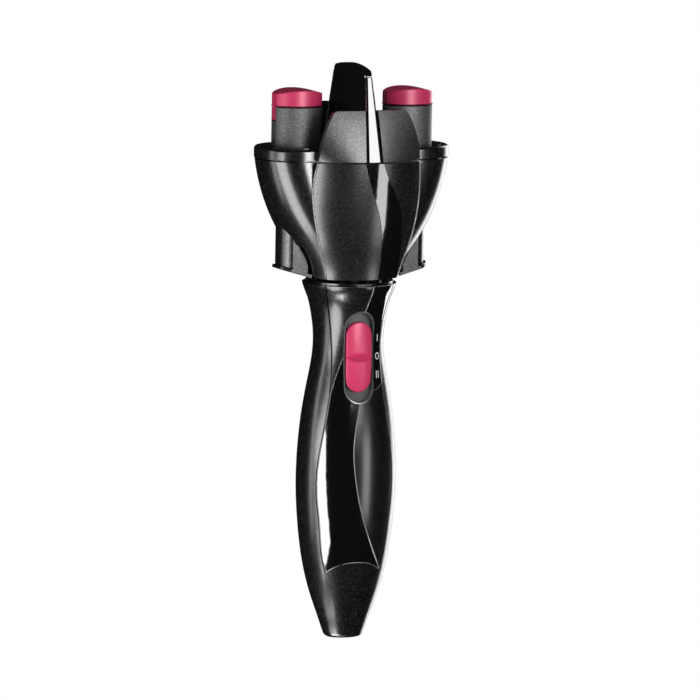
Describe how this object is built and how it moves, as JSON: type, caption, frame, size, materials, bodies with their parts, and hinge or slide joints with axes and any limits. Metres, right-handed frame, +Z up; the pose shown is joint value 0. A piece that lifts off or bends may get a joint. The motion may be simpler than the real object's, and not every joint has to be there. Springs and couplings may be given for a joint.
{
  "type": "automatic hair braider",
  "caption": "Hand-held battery hair braider: tapered grip with thumb slider, turning two-lobed head, tall divider fin and lifting hooks that each spin.",
  "frame": {"origin": "centre of the flat end of the handle, on the spin axis of the head", "axes": "+Z up the spin axis from the handle to the head, -Y towards the thumb slider, +X to the viewer's right when the slider faces the viewer"},
  "size_m": [0.084, 0.055, 0.2412],
  "materials": {
    "satin_black": "satin black with a fine metallic fleck",
    "gloss_black": "polished black",
    "satin_graphite": "satin graphite with a fine metallic fleck",
    "pink": "pearl pink, semi-gloss",
    "switch_grey": "matte dark grey",
    "bezel_grey": "bevelled grey rim",
    "natural_nylon": "natural nylon",
    "steel": "bright steel",
    "bronze": "sintered bronze and plated contact strip",
    "cell_jacket": "plain printed jacket, no lettering",
    "board": "green laminate",
    "lead_sleeve": "soft sleeve"
  },
  "bodies": {
    "handle": {"rear_shell": "satin_black", "front_shell": "satin_black", "handle_ribbon": "gloss_black", "switch_bezel": "bezel_grey", "switch_plate": "switch_grey", "battery_tray": "natural_nylon", "battery_cell_left": "cell_jacket", "battery_cell_right": "cell_jacket", "battery_springs": "steel", "battery_contacts": "bronze", "circuit_board": "board", "slide_switch_body": "switch_grey", "motor": "steel", "gearbox": "natural_nylon", "motor_bracket": "natural_nylon", "neck_bearing": "bronze", "neck_collar": "satin_black", "shell_screws": "steel", "leads": "lead_sleeve"},
    "switch": {"switch_slider": "pink"},
    "battery_door": {"battery_cover": "satin_black"},
    "head": {"head_shell": "satin_black", "front_petal": "satin_black", "back_petal": "satin_black", "front_head_ribbon": "gloss_black", "back_head_ribbon": "gloss_black", "top_cover": "satin_black", "front_shield": "satin_black", "back_shield": "satin_black", "divider_fin": "gloss_black", "gear_plate": "natural_nylon", "plate_bushes": "bronze", "head_screws": "steel", "head_spindle": "steel", "spindle_clip": "steel", "clutch_pawl": "natural_nylon", "pawl_pin": "steel"},
    "drive": {"drive_shaft": "steel", "sun_gear": "natural_nylon", "ratchet_wheel": "natural_nylon"},
    "left_spool": {"left_hook_gear": "natural_nylon", "left_hook_spindle": "steel", "left_hook_clip": "steel", "left_hook_disc": "satin_black", "left_hook_post": "satin_graphite"},
    "left_lift": {"left_hook_cap": "pink", "left_hook_rod": "steel", "left_push_tube": "satin_graphite", "left_return_spring": "steel"},
    "right_spool": {"right_hook_gear": "natural_nylon", "right_hook_spindle": "steel", "right_hook_clip": "steel", "right_hook_disc": "satin_black", "right_hook_post": "satin_graphite"},
    "right_lift": {"right_hook_cap": "pink", "right_hook_rod": "steel", "right_push_tube": "satin_graphite", "right_return_spring": "steel"}
  },
  "joints": [
    {"name": "head_spin", "type": "hinge", "parent": "handle", "child": "head", "pos_m": [0, 0, 0.15], "axis": [0, 0, 1], "continuous": true},
    {"name": "switch_slide", "type": "slide", "parent": "handle", "child": "switch", "axis": [0, 0, 1], "range_m": [-0.0039, 0.0039]},
    {"name": "battery_cover_off", "type": "slide", "parent": "handle", "child": "battery_door", "axis": [0, 1, 0], "range_m": [0, 0.025]},
    {"name": "left_hook_spin", "type": "hinge", "parent": "head", "child": "left_spool", "pos_m": [-0.0245, 0, 0.195], "axis": [0, 0, 1], "continuous": true},
    {"name": "right_hook_spin", "type": "hinge", "parent": "head", "child": "right_spool", "pos_m": [0.0245, 0, 0.195], "axis": [0, 0, 1], "continuous": true},
    {"name": "drive_spin", "type": "hinge", "parent": "head", "child": "drive", "pos_m": [0, 0, 0.195], "axis": [0, 0, 1], "continuous": true},
    {"name": "left_hook_lift", "type": "slide", "parent": "left_spool", "child": "left_lift", "axis": [0, 0, 1], "range_m": [0, 0.008], "stiffness_N_per_m": 150, "springref_m": -0.008, "deforming": ["left_return_spring"]},
    {"name": "right_hook_lift", "type": "slide", "parent": "right_spool", "child": "right_lift", "axis": [0, 0, 1], "range_m": [0, 0.008], "stiffness_N_per_m": 150, "springref_m": -0.008, "deforming": ["right_return_spring"]}
  ],
  "couplings": [
    {"joint": "drive_spin", "follows": "left_hook_spin", "ratio": -0.96},
    {"joint": "right_hook_spin", "follows": "left_hook_spin", "ratio": 1}
  ]
}
